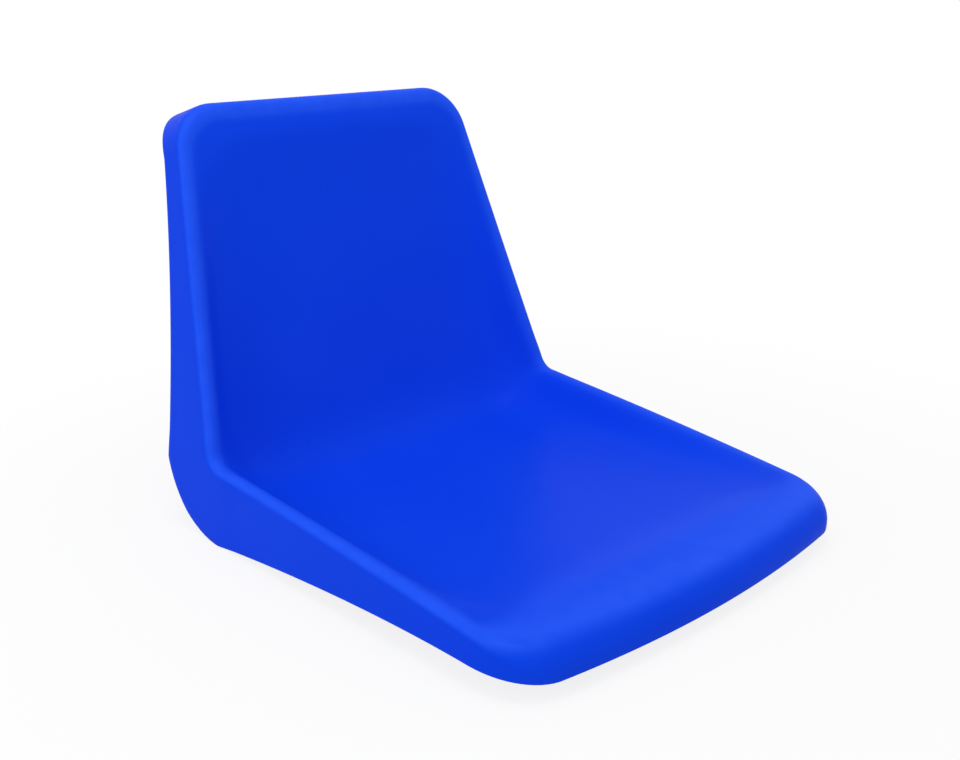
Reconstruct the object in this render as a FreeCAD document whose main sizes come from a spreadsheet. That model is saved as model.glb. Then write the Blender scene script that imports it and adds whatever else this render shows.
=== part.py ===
import FreeCAD
import Part
import math
import os
import Sketcher
from types import SimpleNamespace

# A stadium seat: one moulded bucket shell, and four threaded inserts in bosses under its pan.
# X runs across to the sitter's left, Y to the rear and Z up. The origin is the middle of the bolt pattern,
# on the plane of the bosses' lower faces. The rim is the ridge that a sitter's legs and back touch first:
# it is laid out flat as a rounded outline, with x across and "way" along it from the front edge, over the
# hip bend, to the top, and then bent along its side view.

SIZES = (
    ("seat_length", 343.7, "rim: straight seat line, front edge to hip bend"),
    ("back_length", 294.6, "rim: straight back line, hip bend to top edge"),
    ("seat_rise", 3.7, "rim: slope of the seat line, degrees"),
    ("back_lean", 18.3, "rim: lean of the back line from upright, degrees"),
    ("rim_hip_radius", 17.0, "rim: radius of the hip bend"),
    ("front_droop", 8.3, "rim: drop of the front edge below the straight seat line"),
    ("top_curl", 2.0, "rim: how far the top edge bends forward of the straight back line"),
    ("front_half_width", 199.9, "outline: half width at the front"),
    ("hip_half_width", 207.1, "outline: half width at the hip"),
    ("top_half_width", 159.6, "outline: half width at the top"),
    ("hip_blend", 38.0, "outline: half length of the width's change of taper at the hip"),
    ("front_corner_radius", 33.2, "outline: front corners"),
    ("top_corner_radius", 39.0, "outline: top corners"),
    ("front_bow", 16.6, "outline: how far the front edge bows out in its middle"),
    ("bow_reach", 116.0, "outline: how far in from the front edge its bow is felt"),
    ("pan_depth", 68.0, "bucket: how far the pan's rear lies below the rim's hip corner"),
    ("back_depth", 52.0, "bucket: how far the back's foot lies behind the rim's hip corner"),
    ("lumbar_softness", 62.0, "bucket: reach of the middle bend between pan and back"),
    ("hip_softness", 80.0, "bucket: reach of the side walls' bend at the hip"),
    ("hip_sink", 0.5, "bucket: share of the depth at which the side walls' bend has its corner"),
    ("soft_share", 0.5, "bucket: share of the depth from which the side walls' bend is soft"),
    ("wall_width_front", 120.0, "bucket: width of the side walls at the front"),
    ("wall_width_hip", 105.0, "bucket: width of the side walls at the hip"),
    ("wall_width_top", 105.0, "bucket: width of the side walls at the top"),
    ("front_fade", 140.0, "bucket: length over which the dish starts behind the front edge"),
    ("top_fade", 120.0, "bucket: length over which the dish ends below the top edge"),
    ("hollow_share", 0.15, "bucket: share of the depth that is a wide hollow, not a side wall"),
    ("ridge_share", 0.15, "bucket: share of the walls' width that rounds off the ridge at the rim"),
    ("side_roll_radius", 6.8, "skirt: outer radius of the rolled edge at the sides"),
    ("front_roll_radius", 23.0, "skirt: outer radius of the rolled edge at the front"),
    ("top_roll_radius", 11.0, "skirt: outer radius of the rolled edge at the top"),
    ("skirt_hip", 73.8, "skirt: depth at the hip"),
    ("skirt_corner", 24.7, "skirt: depth at the front end of the sides"),
    ("skirt_shoulder", 26.9, "skirt: depth at the top end of the sides"),
    ("skirt_front", 24.8, "skirt: depth along the front"),
    ("skirt_top", 49.4, "skirt: depth along the top"),
    ("skirt_seat_power", 1.32, "skirt: how the depth grows along the seat, 1 is straight"),
    ("skirt_back_power", 1.8, "skirt: how the depth grows down the back, 1 is straight"),
    ("draft", 2.2, "skirt: mould draft, degrees"),
    ("wall", 4.5, "shell: wall thickness"),
    ("mount_setback", 186.8, "mount: pattern's middle, in front of the end of the rim's seat line"),
    ("mount_drop", 71.8, "mount: boss faces, below the end of the rim's seat line"),
    ("insert_spacing_x", 240.0, "mount: inserts, side to side"),
    ("insert_spacing_y", 200.0, "mount: inserts, front to rear"),
    ("boss_diameter", 26.0, "mount: bosses"),
    ("rib_thickness", 3.5, "ribs: thickness"),
    ("rib_setback", 6.0, "ribs: lower edges above the boss faces"),
    ("rib_overhang", 30.0, "ribs: length of the lower edges past the inserts' centre lines"),
    ("rib_flare", 24.0, "ribs: how much longer each end is at the rim's height than at the lower edge"),
    ("insert_diameter", 12.0, "insert: outer diameter"),
    ("insert_length", 15.0, "insert: length"),
    ("insert_core", 6.8, "insert: core diameter of its M8 thread"),
    ("insert_groove_depth", 1.0, "insert: depth of the anchor groove"),
    ("insert_groove_width", 3.0, "insert: width of the anchor groove"),
    ("insert_chamfer", 0.4, "insert: lead-in chamfer of the thread"),
    ("relief_depth", 4.0, "boss: clear depth above the insert for the bolt's tip"),
    ("relief_diameter", 8.6, "boss: clear diameter above the insert for the bolt's tip"),
)

# The side walls' profile, and how squarely they turn into the ends of the dish: 1 is straight, 2 is round
WALL_POWER = 4
WALL_TURN_POWER = 4

# How finely the moulded surface is laid out
CORNER_STEPS = 4
FRONT_STEPS = 12
SEAT_STEPS = 10
HIP_APPROACH_STEPS = 5
HIP_STEPS = 16
BACK_STEPS = 8
SECTOR_STEPS = 12
SECTOR_CROWDING = 1.7
ROLL_STEPS = 6
SKIRT_STEPS = 3
HIP_ZONE = 20.0
HIP_APPROACH = 60.0
FIELD_HALF_WIDTH = 90.0
FIELD_MARGIN = 100.0
CEILING_STEPS = 40
CEILING_MARGIN = 8.0

# Short distances over which slopes are measured
SLOPE_GAP = 0.5
TURN_GAP = 0.1


def add_sizes(doc):
    """The spreadsheet with every driving dimension under its own alias."""
    sheet = doc.addObject("Spreadsheet::Sheet", "Sizes")
    for row, (name, value, meaning) in enumerate(SIZES, start=1):
        sheet.set("A%d" % row, name)
        sheet.set("B%d" % row, str(value))
        sheet.set("C%d" % row, meaning)
        sheet.setAlias("B%d" % row, name)
    doc.recompute()
    return sheet


doc = FreeCAD.newDocument("stadium_seat")
sheet = add_sizes(doc)
size = SimpleNamespace(**{name: float(sheet.get(name)) for name, _, _ in SIZES})

# Sums of the driving dimensions
seat_angle = math.radians(size.seat_rise)
back_angle = math.radians(90 - size.back_lean)
hip_length = size.rim_hip_radius * (back_angle - seat_angle)
hip_end = size.seat_length + hip_length
hip_middle = size.seat_length + hip_length / 2
rim_length = hip_end + size.back_length


def ease(share):
    """0 to 1 with a level start and end."""
    share = min(max(share, 0.0), 1.0)
    return share * share * (3 - 2 * share)


def mix(first, second, share):
    return first + (second - first) * share


# Side views

def rim_line(way):
    """The rim's side view: (y, z) and its slope angle."""
    ahead = max(size.seat_length - way, 0.0)
    above = max(way - hip_end, 0.0)
    angle = seat_angle + min(max(way - size.seat_length, 0.0), hip_length) / size.rim_hip_radius
    radius = size.rim_hip_radius
    y = size.mount_setback + radius * (math.sin(angle) - math.sin(seat_angle))
    z = size.mount_drop + radius * (math.cos(seat_angle) - math.cos(angle))
    y += above * math.cos(angle) - ahead * math.cos(angle)
    z += above * math.sin(angle) - ahead * math.sin(angle)
    sag = size.front_droop * (ahead / size.seat_length) ** 2
    sag -= size.top_curl * (above / size.back_length) ** 2
    y += sag * math.sin(angle)
    z -= sag * math.cos(angle)
    bend = 2 * size.front_droop * ahead / size.seat_length ** 2
    bend += 2 * size.top_curl * above / size.back_length ** 2
    return (y, z), angle + bend


def hip_corner():
    """Where the rim's straight seat line and straight back line would meet."""
    reach = size.rim_hip_radius * math.tan((back_angle - seat_angle) / 2)
    y = size.mount_setback + reach * math.cos(seat_angle)
    z = size.mount_drop + reach * math.sin(seat_angle)
    return y, z


rim_corner = hip_corner()
foot = (rim_corner[0] + size.back_depth, rim_corner[1] - size.pan_depth)
wall_corner = [mix(high, low, size.hip_sink) for high, low in zip(rim_corner, foot)]


def soft_line(way, corner, softness):
    """A side view between the rim's ends that passes a corner in a soft bend: (y, z)."""
    front, _ = rim_line(0.0)
    top, _ = rim_line(rim_length)
    pan, back = math.dist(front, corner), math.dist(corner, top)
    if way < hip_middle:
        past = (way / hip_middle - 1) * pan
    else:
        past = (way - hip_middle) / (rim_length - hip_middle) * back
    spread = math.hypot(past, softness)
    before = (spread - past) / (2 * pan)
    after = (spread + past) / (2 * back)
    y = corner[0] + (front[0] - corner[0]) * before + (top[0] - corner[0]) * after
    z = corner[1] + (front[1] - corner[1]) * before + (top[1] - corner[1]) * after
    return y, z


def face_line(way, share):
    """The upper face's side view: the rim's at share 0, and the bucket's middle line at share 1."""
    rim, _ = rim_line(way)
    soft = soft_line(way, wall_corner, size.hip_softness)
    floor = soft_line(way, foot, size.lumbar_softness)
    softened = ease(share / size.soft_share)
    return [mix(mix(a, b, softened), c, share) for a, b, c in zip(rim, soft, floor)]


# Outline, laid flat

front_taper = math.atan((size.hip_half_width - size.front_half_width) / hip_middle)
top_taper = math.atan((size.hip_half_width - size.top_half_width) / (rim_length - hip_middle))


def half_width(way):
    below = mix(size.hip_half_width, size.front_half_width, (hip_middle - way) / hip_middle)
    above = mix(size.hip_half_width, size.top_half_width, (way - hip_middle) / (rim_length - hip_middle))
    return mix(below, above, ease((way - hip_middle) / (2 * size.hip_blend) + 0.5))


# Centres of the corner arcs, which touch the edge and the tapering side
front_centre_way = size.front_corner_radius
front_centre_x = half_width(front_centre_way) - size.front_corner_radius / math.cos(front_taper)
top_centre_way = rim_length - size.top_corner_radius
top_centre_x = half_width(top_centre_way) - size.top_corner_radius / math.cos(top_taper)


def bowed(x, way):
    """A place of the plain rounded outline, moved by the bow of the front edge."""
    return x, way - size.front_bow * (1 - (x / size.front_half_width) ** 2) * ease(1 - way / size.bow_reach)


def station(x, way, turn):
    """A place on the bowed outline with its outward direction; turn is the plain outline's outward angle."""
    before = bowed(x + TURN_GAP * math.sin(turn), way - TURN_GAP * math.cos(turn))
    after = bowed(x - TURN_GAP * math.sin(turn), way + TURN_GAP * math.cos(turn))
    length = math.dist(before, after)
    place_x, place_way = bowed(x, way)
    return SimpleNamespace(x=place_x, way=place_way, out_x=(after[1] - before[1]) / length,
                           out_way=(before[0] - after[0]) / length)


def mirrored(places):
    """The same stations on the seat's other side."""
    return [SimpleNamespace(x=-p.x, way=p.way, out_x=-p.out_x, out_way=p.out_way) for p in places]


def steps(start, end, count):
    """Evenly spaced values after start, up to and with end."""
    return [mix(start, end, number / count) for number in range(1, count + 1)]


def corner(centre_x, centre_way, radius, start, end):
    """Stations round a corner arc, from one outward angle to another."""
    turns = [start] + steps(start, end, CORNER_STEPS)
    return [station(centre_x + radius * math.cos(turn), centre_way + radius * math.sin(turn), turn)
            for turn in turns]


def edge_outline(centre_x, centre_way, radius, outward):
    """Stations of the front or top edge, from the middle of one corner to the middle of the other."""
    arc = corner(centre_x, centre_way, radius, outward, outward / 2)
    way = centre_way + math.copysign(radius, outward)
    straight = [station(x, way, outward) for x in steps(-centre_x, centre_x, FRONT_STEPS)]
    return mirrored(arc)[::-1] + straight + arc[1:]


def side_outline():
    """Stations of the right side, from the middle of the front corner up to the middle of the top one."""
    front = corner(front_centre_x, front_centre_way, size.front_corner_radius, -math.pi / 4, -front_taper)
    top = corner(top_centre_x, top_centre_way, size.top_corner_radius, top_taper, math.pi / 4)
    ways = steps(front[-1].way, hip_middle - HIP_APPROACH, SEAT_STEPS)
    ways += steps(hip_middle - HIP_APPROACH, hip_middle - HIP_ZONE, HIP_APPROACH_STEPS)
    ways += steps(hip_middle - HIP_ZONE, hip_middle + HIP_ZONE, HIP_STEPS)
    ways += steps(hip_middle + HIP_ZONE, hip_middle + HIP_APPROACH, HIP_APPROACH_STEPS)
    ways += steps(hip_middle + HIP_APPROACH, top[0].way, BACK_STEPS)
    side = []
    for way in ways[:-1]:
        widening = half_width(way + SLOPE_GAP) - half_width(way - SLOPE_GAP)
        side.append(station(half_width(way), way, -math.atan(widening / (2 * SLOPE_GAP))))
    return front + side + top


# The moulded surface that the sitter touches, with the depth of the bucket

def bucket_share(x, way):
    """How far the upper face is sunk from the rim's surface, 0, to the floor line, 1."""
    seat = min(max(way / hip_middle, 0.0), 1.0)
    back = min(max((rim_length - way) / (rim_length - hip_middle), 0.0), 1.0)
    end_width = size.wall_width_front if way < hip_middle else size.wall_width_top
    wall_width = mix(end_width, size.wall_width_hip, seat if way < hip_middle else back)
    width = half_width(way)
    near_side = 1 - min(max((width - abs(x)) / wall_width, 0.0), 1.0)
    near_end = 1 - min(max(min(way / size.front_fade, (rim_length - way) / size.top_fade), 0.0), 1.0)
    nearness = (near_side ** WALL_TURN_POWER + near_end ** WALL_TURN_POWER) ** (1 / WALL_TURN_POWER)
    inward = 1 - min(nearness, 1.0)
    rounded = math.hypot(inward, size.ridge_share) - size.ridge_share
    rounded /= math.hypot(1, size.ridge_share) - size.ridge_share
    return (1 - (1 - rounded) ** WALL_POWER) * (1 - size.hollow_share * (x / width) ** 2)


def face_point(x, way):
    """A point of the upper face inside the rim."""
    return FreeCAD.Vector(x, *face_line(way, bucket_share(x, way)))


def face_normal(x, way):
    """Unit normal of the upper face, towards the sitter."""
    across = face_point(x + SLOPE_GAP, way) - face_point(x - SLOPE_GAP, way)
    along = face_point(x, way + SLOPE_GAP) - face_point(x, way - SLOPE_GAP)
    normal = across.cross(along)
    return normal.normalize()


def sunk_point(x, way, depth):
    """A point under the upper face, this deep in the wall."""
    return face_point(x, way) - face_normal(x, way) * depth


def rim_axes(way):
    """Unit directions at the rim: square to it towards the sitter, and along its side view."""
    _, angle = rim_line(way)
    up = FreeCAD.Vector(0, -math.sin(angle), math.cos(angle))
    return up, FreeCAD.Vector(0, math.cos(angle), math.sin(angle))


# The rolled edge and the skirt

def skirt_depth(way, front, top):
    """Depth of the skirt below the rim, for a place whose outward direction is this much front and top."""
    seat = min(max(way / hip_middle, 0.0), 1.0) ** size.skirt_seat_power
    back = min(max((rim_length - way) / (rim_length - hip_middle), 0.0), 1.0) ** size.skirt_back_power
    if way < hip_middle:
        side = mix(size.skirt_corner, size.skirt_hip, seat)
    else:
        side = mix(size.skirt_shoulder, size.skirt_hip, back)
    return side * (1 - front - top) + size.skirt_front * front + size.skirt_top * top


def edge_rows(places, depth):
    """The rolled edge's points and end directions, and the skirt's points, sunk by depth into the wall."""
    end = math.radians(90 - size.draft)
    roll_rows = [[] for _ in range(ROLL_STEPS + 1)]
    skirt_rows = [[] for _ in range(SKIRT_STEPS + 1)]
    starts, ends = [], []
    for place in places:
        front = max(-place.out_way, 0.0) ** 2
        top = max(place.out_way, 0.0) ** 2
        radius = size.side_roll_radius * (1 - front - top)
        radius += size.front_roll_radius * front + size.top_roll_radius * top
        yz, _ = rim_line(place.way)
        up, along = rim_axes(place.way)
        out = FreeCAD.Vector(place.out_x, 0, 0) + along * place.out_way
        centre = FreeCAD.Vector(place.x, *yz) - up * radius
        for number in range(ROLL_STEPS + 1):
            turn = end * number / ROLL_STEPS
            facing = out * math.sin(turn) + up * math.cos(turn)
            roll_rows[number].append(centre + facing * (radius - depth))
        down = out * math.cos(end) - up * math.sin(end)
        starts.append(out * (end * (radius - depth)))
        ends.append(down * (end * (radius - depth)))
        reach = (skirt_depth(place.way, front, top) - radius * (1 - math.cos(end))) / math.sin(end)
        for number in range(SKIRT_STEPS + 1):
            skirt_rows[number].append(roll_rows[ROLL_STEPS][-1] + down * (reach * number / SKIRT_STEPS))
    return roll_rows, (starts, ends), skirt_rows


def sector_shares():
    """Where a sector's rows lie between the field, 0, and the rim, 1: closer together at the ridge."""
    return [1 - (1 - number / SECTOR_STEPS) ** SECTOR_CROWDING for number in range(SECTOR_STEPS + 1)]


def sector_rows(inner, places, depth):
    """Points and end directions of the upper face from the field out to the rim."""
    step = 0.01

    def sector_point(start, place, share):
        return sunk_point(mix(start[0], place.x, share), mix(start[1], place.way, share), depth)

    rows = [[sector_point(start, place, share) for start, place in zip(inner, places)]
            for share in sector_shares()[:-1]]
    rim, starts, ends = [], [], []
    for start, place in zip(inner, places):
        up, along = rim_axes(place.way)
        rim.append(FreeCAD.Vector(place.x, *rim_line(place.way)[0]) - up * depth)
        starts.append((sector_point(start, place, step) - sector_point(start, place, -step)) / (2 * step))
        outward = FreeCAD.Vector(place.x - start[0], 0, 0) + along * (place.way - start[1])
        pace = (rim[-1] - sector_point(start, place, 1 - step)).Length / step
        ends.append(outward.normalize() * pace)
    return rows + [rim], (starts, ends)


# The shell's wall as a closed solid

def through(points, places, tangents=None):
    """A smooth curve that passes each point at its place, from 0 to 1."""
    curve = Part.BSplineCurve()
    if tangents:
        curve.interpolate(Points=points, Parameters=places, InitialTangent=tangents[0],
                          FinalTangent=tangents[1], Scale=False)
    else:
        curve.interpolate(Points=points, Parameters=places)
    return curve


def pole_tangents(row, tangents, along):
    """The directions at a row's points, carried over to the poles of the curve through them."""
    moved = through([point + tangent for point, tangent in zip(row, tangents)], along).getPoles()
    return [after - before for before, after in zip(through(row, along).getPoles(), moved)]


def patch(rows, along, down=None, tangents=None):
    """A smooth face through rows of points. Faces with the same places along an edge share it exactly."""
    down = down or [number / (len(rows) - 1) for number in range(len(rows))]
    row_curves = [through(row, along) for row in rows]
    columns = [list(column) for column in zip(*[curve.getPoles() for curve in row_curves])]
    ends = [None] * len(columns)
    if tangents:
        ends = zip(pole_tangents(rows[0], tangents[0], along), pole_tangents(rows[-1], tangents[1], along))
    column_curves = [through(column, down, pair) for column, pair in zip(columns, ends)]
    surface = Part.BSplineSurface()
    surface.buildFromPolesMultsKnots(
        [curve.getPoles() for curve in column_curves],
        row_curves[0].getMultiplicities(), column_curves[0].getMultiplicities(),
        row_curves[0].getKnots(), column_curves[0].getKnots(), False, False, 3, 3)
    return surface.toShape()


def length_shares(places):
    """Each station's share of the length along its side of the outline."""
    lengths = [0.0]
    for before, after in zip(places, places[1:]):
        lengths.append(lengths[-1] + math.hypot(after.x - before.x, after.way - before.way))
    return [length / lengths[-1] for length in lengths]


def grid_patch(xs, ways, across, upward, depth):
    """A face under the upper face over a grid of flat places."""
    rows = [[sunk_point(x, way, depth) for x in xs] for way in ways]
    return patch(rows, across, upward)


def moulded_skin():
    """A field in the middle of the bucket, four sectors out to the rim, the rolled edge and the skirt."""
    front = edge_outline(front_centre_x, front_centre_way, size.front_corner_radius, -math.pi / 2)
    top = edge_outline(top_centre_x, top_centre_way, size.top_corner_radius, math.pi / 2)
    right = side_outline()
    across = length_shares(front)
    upward = length_shares(right)
    low, high = FIELD_MARGIN, rim_length - FIELD_MARGIN
    xs = [mix(-FIELD_HALF_WIDTH, FIELD_HALF_WIDTH, share) for share in across]
    ways = [mix(low, high, share) for share in upward]
    sides = (
        (front, across, [(x, low) for x in xs]),
        (top, across, [(x, high) for x in xs]),
        (right, upward, [(FIELD_HALF_WIDTH, way) for way in ways]),
        (mirrored(right), upward, [(-FIELD_HALF_WIDTH, way) for way in ways]),
    )
    faces = []
    for places, along, inner in sides:
        lower_edges = []
        for depth in (0.0, size.wall):
            rows, tangents = sector_rows(inner, places, depth)
            faces.append(patch(rows, along, sector_shares(), tangents))
            rows, tangents, skirt = edge_rows(places, depth)
            faces.append(patch(rows, along, tangents=tangents))
            faces.append(patch(skirt, along))
            lower_edges.append(skirt[-1])
        lip = [[mix(a, b, number / SKIRT_STEPS) for a, b in zip(*lower_edges)]
               for number in range(SKIRT_STEPS + 1)]
        faces.append(patch(lip, along))
    for depth in (0.0, size.wall):
        faces.append(grid_patch(xs, ways, across, upward, depth))
    shell = Part.makeShell(faces)
    shell.sewShape()
    solid = Part.makeSolid(shell)
    if solid.Volume < 0:
        solid.reverse()
    return solid


def pan_ceiling():
    """The space above the middle of the pan's wall, where the bosses and ribs end."""
    reach = size.rib_overhang + size.rib_flare + CEILING_MARGIN
    half_x = size.insert_spacing_x / 2 + reach
    half_y = size.insert_spacing_y / 2 + reach
    middle = size.seat_length - size.mount_setback
    shares = [number / CEILING_STEPS for number in range(CEILING_STEPS + 1)]
    xs = [mix(-half_x, half_x, share) for share in shares]
    ways = [mix(middle - half_y, middle + half_y, share) for share in shares]
    middle_face = grid_patch(xs, ways, shares, shares, size.wall / 2)
    return middle_face.extrude(FreeCAD.Vector(0, 0, 2 * size.mount_drop))


# The document's objects

def bind(item, bindings):
    """Ties an object's properties to expressions on the sheet."""
    for name, expression in bindings.items():
        item.setExpression(name, expression)


def place(item, x, y, z):
    bind(item, {".Placement.Base.x": x, ".Placement.Base.y": y, ".Placement.Base.z": z})


def shaped(name, shape):
    """An object for a shape that is worked out above."""
    item = doc.addObject("Part::Feature", name)
    item.Shape = shape
    return item


def joined(name, items):
    item = doc.addObject("Part::MultiFuse", name)
    item.Shapes = items
    return item


def cut(name, base, tool):
    item = doc.addObject("Part::Cut", name)
    item.Base = base
    item.Tool = tool
    return item


def cylinder(name, radius, height, x, y):
    """An upright cylinder that stands on the plane of the boss faces."""
    item = doc.addObject("Part::Cylinder", name)
    bind(item, {"Radius": radius, "Height": height})
    place(item, x, y, "0")
    return item


UPRIGHT = FreeCAD.Rotation(FreeCAD.Vector(1, 0, 0), 90)
QUARTER_TURN = FreeCAD.Rotation(FreeCAD.Vector(0, 0, 1), 90)


def rib(name, spacing, rotation, x, y):
    """A rib that passes through a pair of bosses this far apart, with ends that lean out towards the pan."""
    item = doc.addObject("Part::Wedge", name)
    low_end = "(%s / 2 + Sizes.rib_overhang)" % spacing
    high_end = "(%s / 2 + Sizes.rib_overhang + Sizes.rib_flare)" % spacing
    side = "(Sizes.rib_thickness / 2)"
    bind(item, {
        "Xmin": "-" + low_end, "Xmax": low_end, "X2min": "-" + high_end, "X2max": high_end,
        "Zmin": "-" + side, "Zmax": side, "Z2min": "-" + side, "Z2max": side,
        "Ymin": "0", "Ymax": "Sizes.mount_drop - Sizes.rib_setback",
    })
    item.Placement.Rotation = rotation
    place(item, x, y, "Sizes.rib_setback")
    return item


def threaded_insert(label, x, y):
    """A brass insert with a chamfered core hole and an anchor groove round its middle."""
    body = doc.addObject("PartDesign::Body", label.title().replace("_", ""))
    body.Label = label
    plane = next(feature for feature in body.Origin.OriginFeatures if feature.Role == "XZ_Plane")
    sketch = body.newObject("Sketcher::SketchObject", body.Name + "Section")
    sketch.AttachmentSupport = [(plane, "")]
    sketch.MapMode = "FlatFace"
    outer, core = size.insert_diameter / 2, size.insert_core / 2
    waist = outer - size.insert_groove_depth
    groove_low = (size.insert_length - size.insert_groove_width) / 2
    groove_high = groove_low + size.insert_groove_width
    section = (
        (core + size.insert_chamfer, 0), (outer, 0), (outer, groove_low), (waist, groove_low),
        (waist, groove_high), (outer, groove_high), (outer, size.insert_length), (core, size.insert_length),
        (core, size.insert_chamfer))
    points = [FreeCAD.Vector(radius, height, 0) for radius, height in section]
    for start, end in zip(points, points[1:] + points[:1]):
        sketch.addGeometry(Part.LineSegment(start, end), False)
    count = len(points)
    for line in range(count):
        sketch.addConstraint(Sketcher.Constraint("Coincident", line, 2, (line + 1) % count, 1))
    for line in (0, 2, 4, 6):
        sketch.addConstraint(Sketcher.Constraint("Horizontal", line))
    for line in (1, 3, 5, 7):
        sketch.addConstraint(Sketcher.Constraint("Vertical", line))
    sketch.addConstraint(Sketcher.Constraint("PointOnObject", 0, 1, -1))
    sketch.addConstraint(Sketcher.Constraint("Vertical", 1, 2, 5, 1))
    lengths = (
        ("outer", "DistanceX", (-1, 1, 1, 1), "Sizes.insert_diameter / 2"),
        ("core", "DistanceX", (-1, 1, 7, 1), "Sizes.insert_core / 2"),
        ("lead_in", "DistanceX", (8, 1, 8, 2), "Sizes.insert_chamfer"),
        ("lead_in_depth", "DistanceY", (8, 2, 8, 1), "Sizes.insert_chamfer"),
        ("below_groove", "DistanceY", (1, 1, 1, 2), "(Sizes.insert_length - Sizes.insert_groove_width) / 2"),
        ("groove_depth", "DistanceX", (3, 1, 2, 1), "Sizes.insert_groove_depth"),
        ("groove_width", "DistanceY", (3, 1, 3, 2), "Sizes.insert_groove_width"),
        ("length", "DistanceY", (-1, 1, 6, 1), "Sizes.insert_length"),
    )
    for name, kind, ends, expression in lengths:
        index = sketch.addConstraint(Sketcher.Constraint(kind, *ends, 1.0))
        sketch.renameConstraint(index, name)
        sketch.setExpression("Constraints." + name, expression)
    turned = body.newObject("PartDesign::Revolution", body.Name + "Turned")
    turned.Profile = sketch
    turned.ReferenceAxis = (sketch, ["V_Axis"])
    turned.Angle = 360.0
    body.Tip = turned
    place(body, x, y, "0")
    return body


HALF_X = "Sizes.insert_spacing_x / 2"
HALF_Y = "Sizes.insert_spacing_y / 2"
CORNERS = (
    ("front_left", HALF_X, "-" + HALF_Y),
    ("front_right", "-" + HALF_X, "-" + HALF_Y),
    ("rear_left", HALF_X, HALF_Y),
    ("rear_right", "-" + HALF_X, HALF_Y),
)

inserts = [threaded_insert("threaded_insert_" + corner_name, x, y) for corner_name, x, y in CORNERS]
bosses = [cylinder("Boss_" + corner_name, "Sizes.boss_diameter / 2", "Sizes.mount_drop", x, y)
          for corner_name, x, y in CORNERS]
bolt_spaces = [cylinder("BoltSpace_" + corner_name, "Sizes.relief_diameter / 2",
                        "Sizes.insert_length + Sizes.relief_depth", x, y) for corner_name, x, y in CORNERS]
ribs = [
    rib("FrontCrossRib", "Sizes.insert_spacing_x", UPRIGHT, "0", "-" + HALF_Y),
    rib("RearCrossRib", "Sizes.insert_spacing_x", UPRIGHT, "0", HALF_Y),
    rib("LeftLongRib", "Sizes.insert_spacing_y", QUARTER_TURN.multiply(UPRIGHT), HALF_X, "0"),
    rib("RightLongRib", "Sizes.insert_spacing_y", QUARTER_TURN.multiply(UPRIGHT), "-" + HALF_X, "0"),
]
stiffening = cut("Stiffening", joined("BossesAndRibs", bosses + ribs), shaped("PanCeiling", pan_ceiling()))
moulding = joined("Moulding", [shaped("Wall", moulded_skin()), stiffening])
seat_shell = cut("SeatShell", moulding, joined("Cavities", inserts + bolt_spaces))
seat_shell.Label = "seat_shell"
doc.recompute()

nodes = [seat_shell] + inserts
failed = [item.Name for item in doc.Objects if "Invalid" in item.State or "Error" in item.State]
failed += [item.Label for item in nodes if item.Shape.isNull() or not item.Shape.isValid()]
if failed:
    raise RuntimeError("not built: " + ", ".join(failed))

os.makedirs("parts", exist_ok=True)
for item in nodes:
    item.Shape.exportStep("parts/%s.step" % item.Label)
    print(item.Label, len(item.Shape.Solids), "solid,", round(item.Shape.Volume), "mm3")
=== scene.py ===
import math
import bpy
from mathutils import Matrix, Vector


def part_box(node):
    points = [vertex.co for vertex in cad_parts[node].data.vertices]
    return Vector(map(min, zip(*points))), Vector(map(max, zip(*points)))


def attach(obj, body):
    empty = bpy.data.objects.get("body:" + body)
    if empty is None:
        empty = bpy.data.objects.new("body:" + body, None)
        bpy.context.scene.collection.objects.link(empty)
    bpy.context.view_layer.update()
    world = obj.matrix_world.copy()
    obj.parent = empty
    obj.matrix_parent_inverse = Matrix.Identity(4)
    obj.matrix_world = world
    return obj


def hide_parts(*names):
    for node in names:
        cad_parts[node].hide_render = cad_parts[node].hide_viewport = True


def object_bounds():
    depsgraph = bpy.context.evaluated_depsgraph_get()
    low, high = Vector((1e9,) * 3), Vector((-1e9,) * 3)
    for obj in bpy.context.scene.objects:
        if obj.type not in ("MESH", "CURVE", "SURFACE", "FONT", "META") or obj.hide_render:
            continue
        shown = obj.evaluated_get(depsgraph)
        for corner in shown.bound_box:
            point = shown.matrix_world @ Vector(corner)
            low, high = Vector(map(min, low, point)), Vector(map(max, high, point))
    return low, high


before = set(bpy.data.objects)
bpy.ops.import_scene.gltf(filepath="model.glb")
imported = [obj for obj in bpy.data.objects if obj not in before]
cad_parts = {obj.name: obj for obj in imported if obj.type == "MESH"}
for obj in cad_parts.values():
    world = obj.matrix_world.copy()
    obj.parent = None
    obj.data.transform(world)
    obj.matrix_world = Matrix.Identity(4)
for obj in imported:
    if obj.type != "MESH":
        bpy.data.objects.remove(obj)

from types import SimpleNamespace

import bmesh
import bpy
from mathutils import Matrix, Vector

bl_info = {
    "name": "Stadium Seat",
    "version": (1, 0, 0),
    "blender": (4, 5, 0),
    "location": "3D View > Sidebar > Seat",
    "description": "Builds a moulded stadium seat with its bosses, ribs and threaded inserts",
    "category": "Object",
}

# The seat in this file: X runs across to the sitter's left, Y to the rear and Z up. The rim is the ridge that
# a sitter's legs and back touch first. It is laid out flat as a rounded outline, with x across and "way"
# along it from the front edge, over the hip bend, to the top, and then bent along its side view.

CAD_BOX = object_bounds()
BODY = "root"
SHELL_NODE = "seat_shell"
INSERT_NODES = sorted(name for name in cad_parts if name.startswith("threaded_insert"))
MM = 0.001
UP = Vector((0.0, 0.0, 1.0))
WHITE = (1.0, 1.0, 1.0)
IMAGE_WIDTH = 960
IMAGE_HEIGHT = 760
SENSOR_WIDTH = 36.0

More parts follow.
